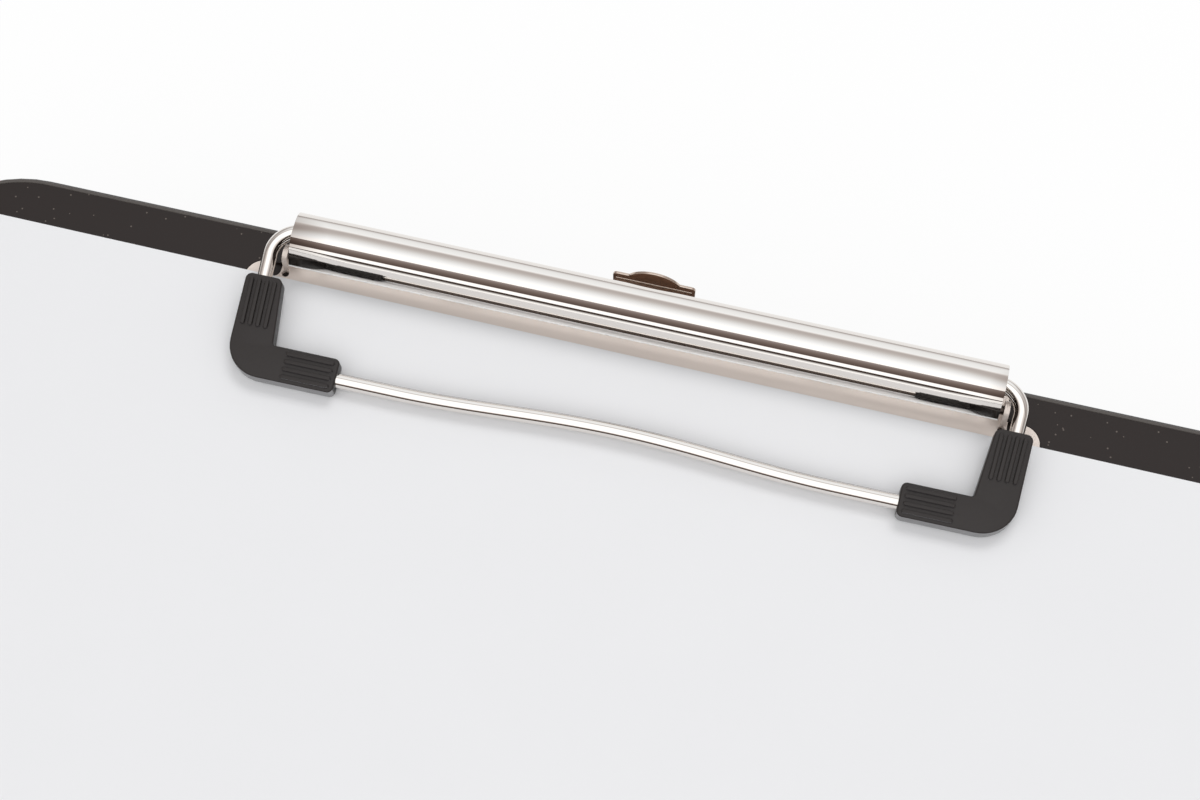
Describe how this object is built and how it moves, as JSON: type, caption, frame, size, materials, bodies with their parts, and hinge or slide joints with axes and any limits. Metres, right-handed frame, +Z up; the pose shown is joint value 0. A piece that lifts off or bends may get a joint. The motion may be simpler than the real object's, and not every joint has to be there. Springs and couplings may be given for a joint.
{
  "type": "storage clipboard box",
  "caption": "Shallow hinged case for A4 paper whose lid is a clipboard with a low spring wire clip, soft grips and a slide-out hanger.",
  "frame": {"origin": "middle of the whole plan, hanger lip included, on the surface that the four feet stand on", "axes": "+X towards the latch side, +Y towards the clip end, +Z up out of the writing face"},
  "size_m": [0.2476, 0.3262, 0.0382],
  "materials": {
    "case_plastic": "fine-grained black moulded plastic",
    "lid_plastic": "smooth satin black moulded plastic with a few specks of dust",
    "latch_plastic": "satin black moulded plastic",
    "foot_rubber": "matt black rubber",
    "nickel": "bright warm nickel plating",
    "nickel_cover": "mirror-bright warm nickel plating",
    "nickel_wire": "bright nickel-plated wire with fine draw marks",
    "steel": "plain zinc-plated steel",
    "spring_steel": "plain drawn spring wire",
    "grip_plastic": "soft black plastic, satin on top and glossy on the sides",
    "paper": "smooth white office paper"
  },
  "bodies": {
    "case": {"base_tray": "case_plastic", "front_left_foot": "foot_rubber", "front_right_foot": "foot_rubber", "rear_left_foot": "foot_rubber", "rear_right_foot": "foot_rubber", "front_hinge_pin": "steel", "rear_hinge_pin": "steel"},
    "lid": {"lid": "lid_plastic", "groove_floor": "lid_plastic", "lid_frame": "lid_plastic", "lid_ribs": "lid_plastic", "latch_pin": "steel", "clip_base_plate": "nickel", "clip_rivets": "steel", "rivet_washers": "steel", "pivot_pin": "steel", "left_torsion_spring": "spring_steel", "right_torsion_spring": "spring_steel"},
    "latch": {"latch": "latch_plastic"},
    "clip_lever": {"clip_cover": "nickel_cover", "left_lever_bracket": "steel", "right_lever_bracket": "steel", "wire_bail": "nickel_wire", "left_grip": "grip_plastic", "right_grip": "grip_plastic"},
    "hanger": {"hanger": "nickel"},
    "sheets": {"paper_sheets": "paper"}
  },
  "joints": [
    {"name": "lid_hinge", "type": "hinge", "parent": "case", "child": "lid", "pos_m": [-0.1206, 0, 0.02162], "axis": [0, -1, 0], "range_deg": [0, 175]},
    {"name": "latch_hinge", "type": "hinge", "parent": "lid", "child": "latch", "pos_m": [0.1197, -0.0021, 0.02555], "axis": [0, -1, 0], "range_deg": [0, 80]},
    {"name": "clip_lever_hinge", "type": "hinge", "parent": "lid", "child": "clip_lever", "pos_m": [0, 0.1537, 0.03215], "axis": [-1, 0, 0], "range_deg": [0, 35], "stiffness_Nm_per_rad": 0.2, "springref_deg": -57.3, "deforming": ["left_torsion_spring", "right_torsion_spring"]},
    {"name": "hanger_slide", "type": "slide", "parent": "lid", "child": "hanger", "axis": [0, 1, 0], "range_m": [0, 0.012]},
    {"name": "sheets_slide", "type": "slide", "parent": "lid", "child": "sheets", "axis": [0, -1, 0], "range_m": [0, 0.32]}
  ]
}
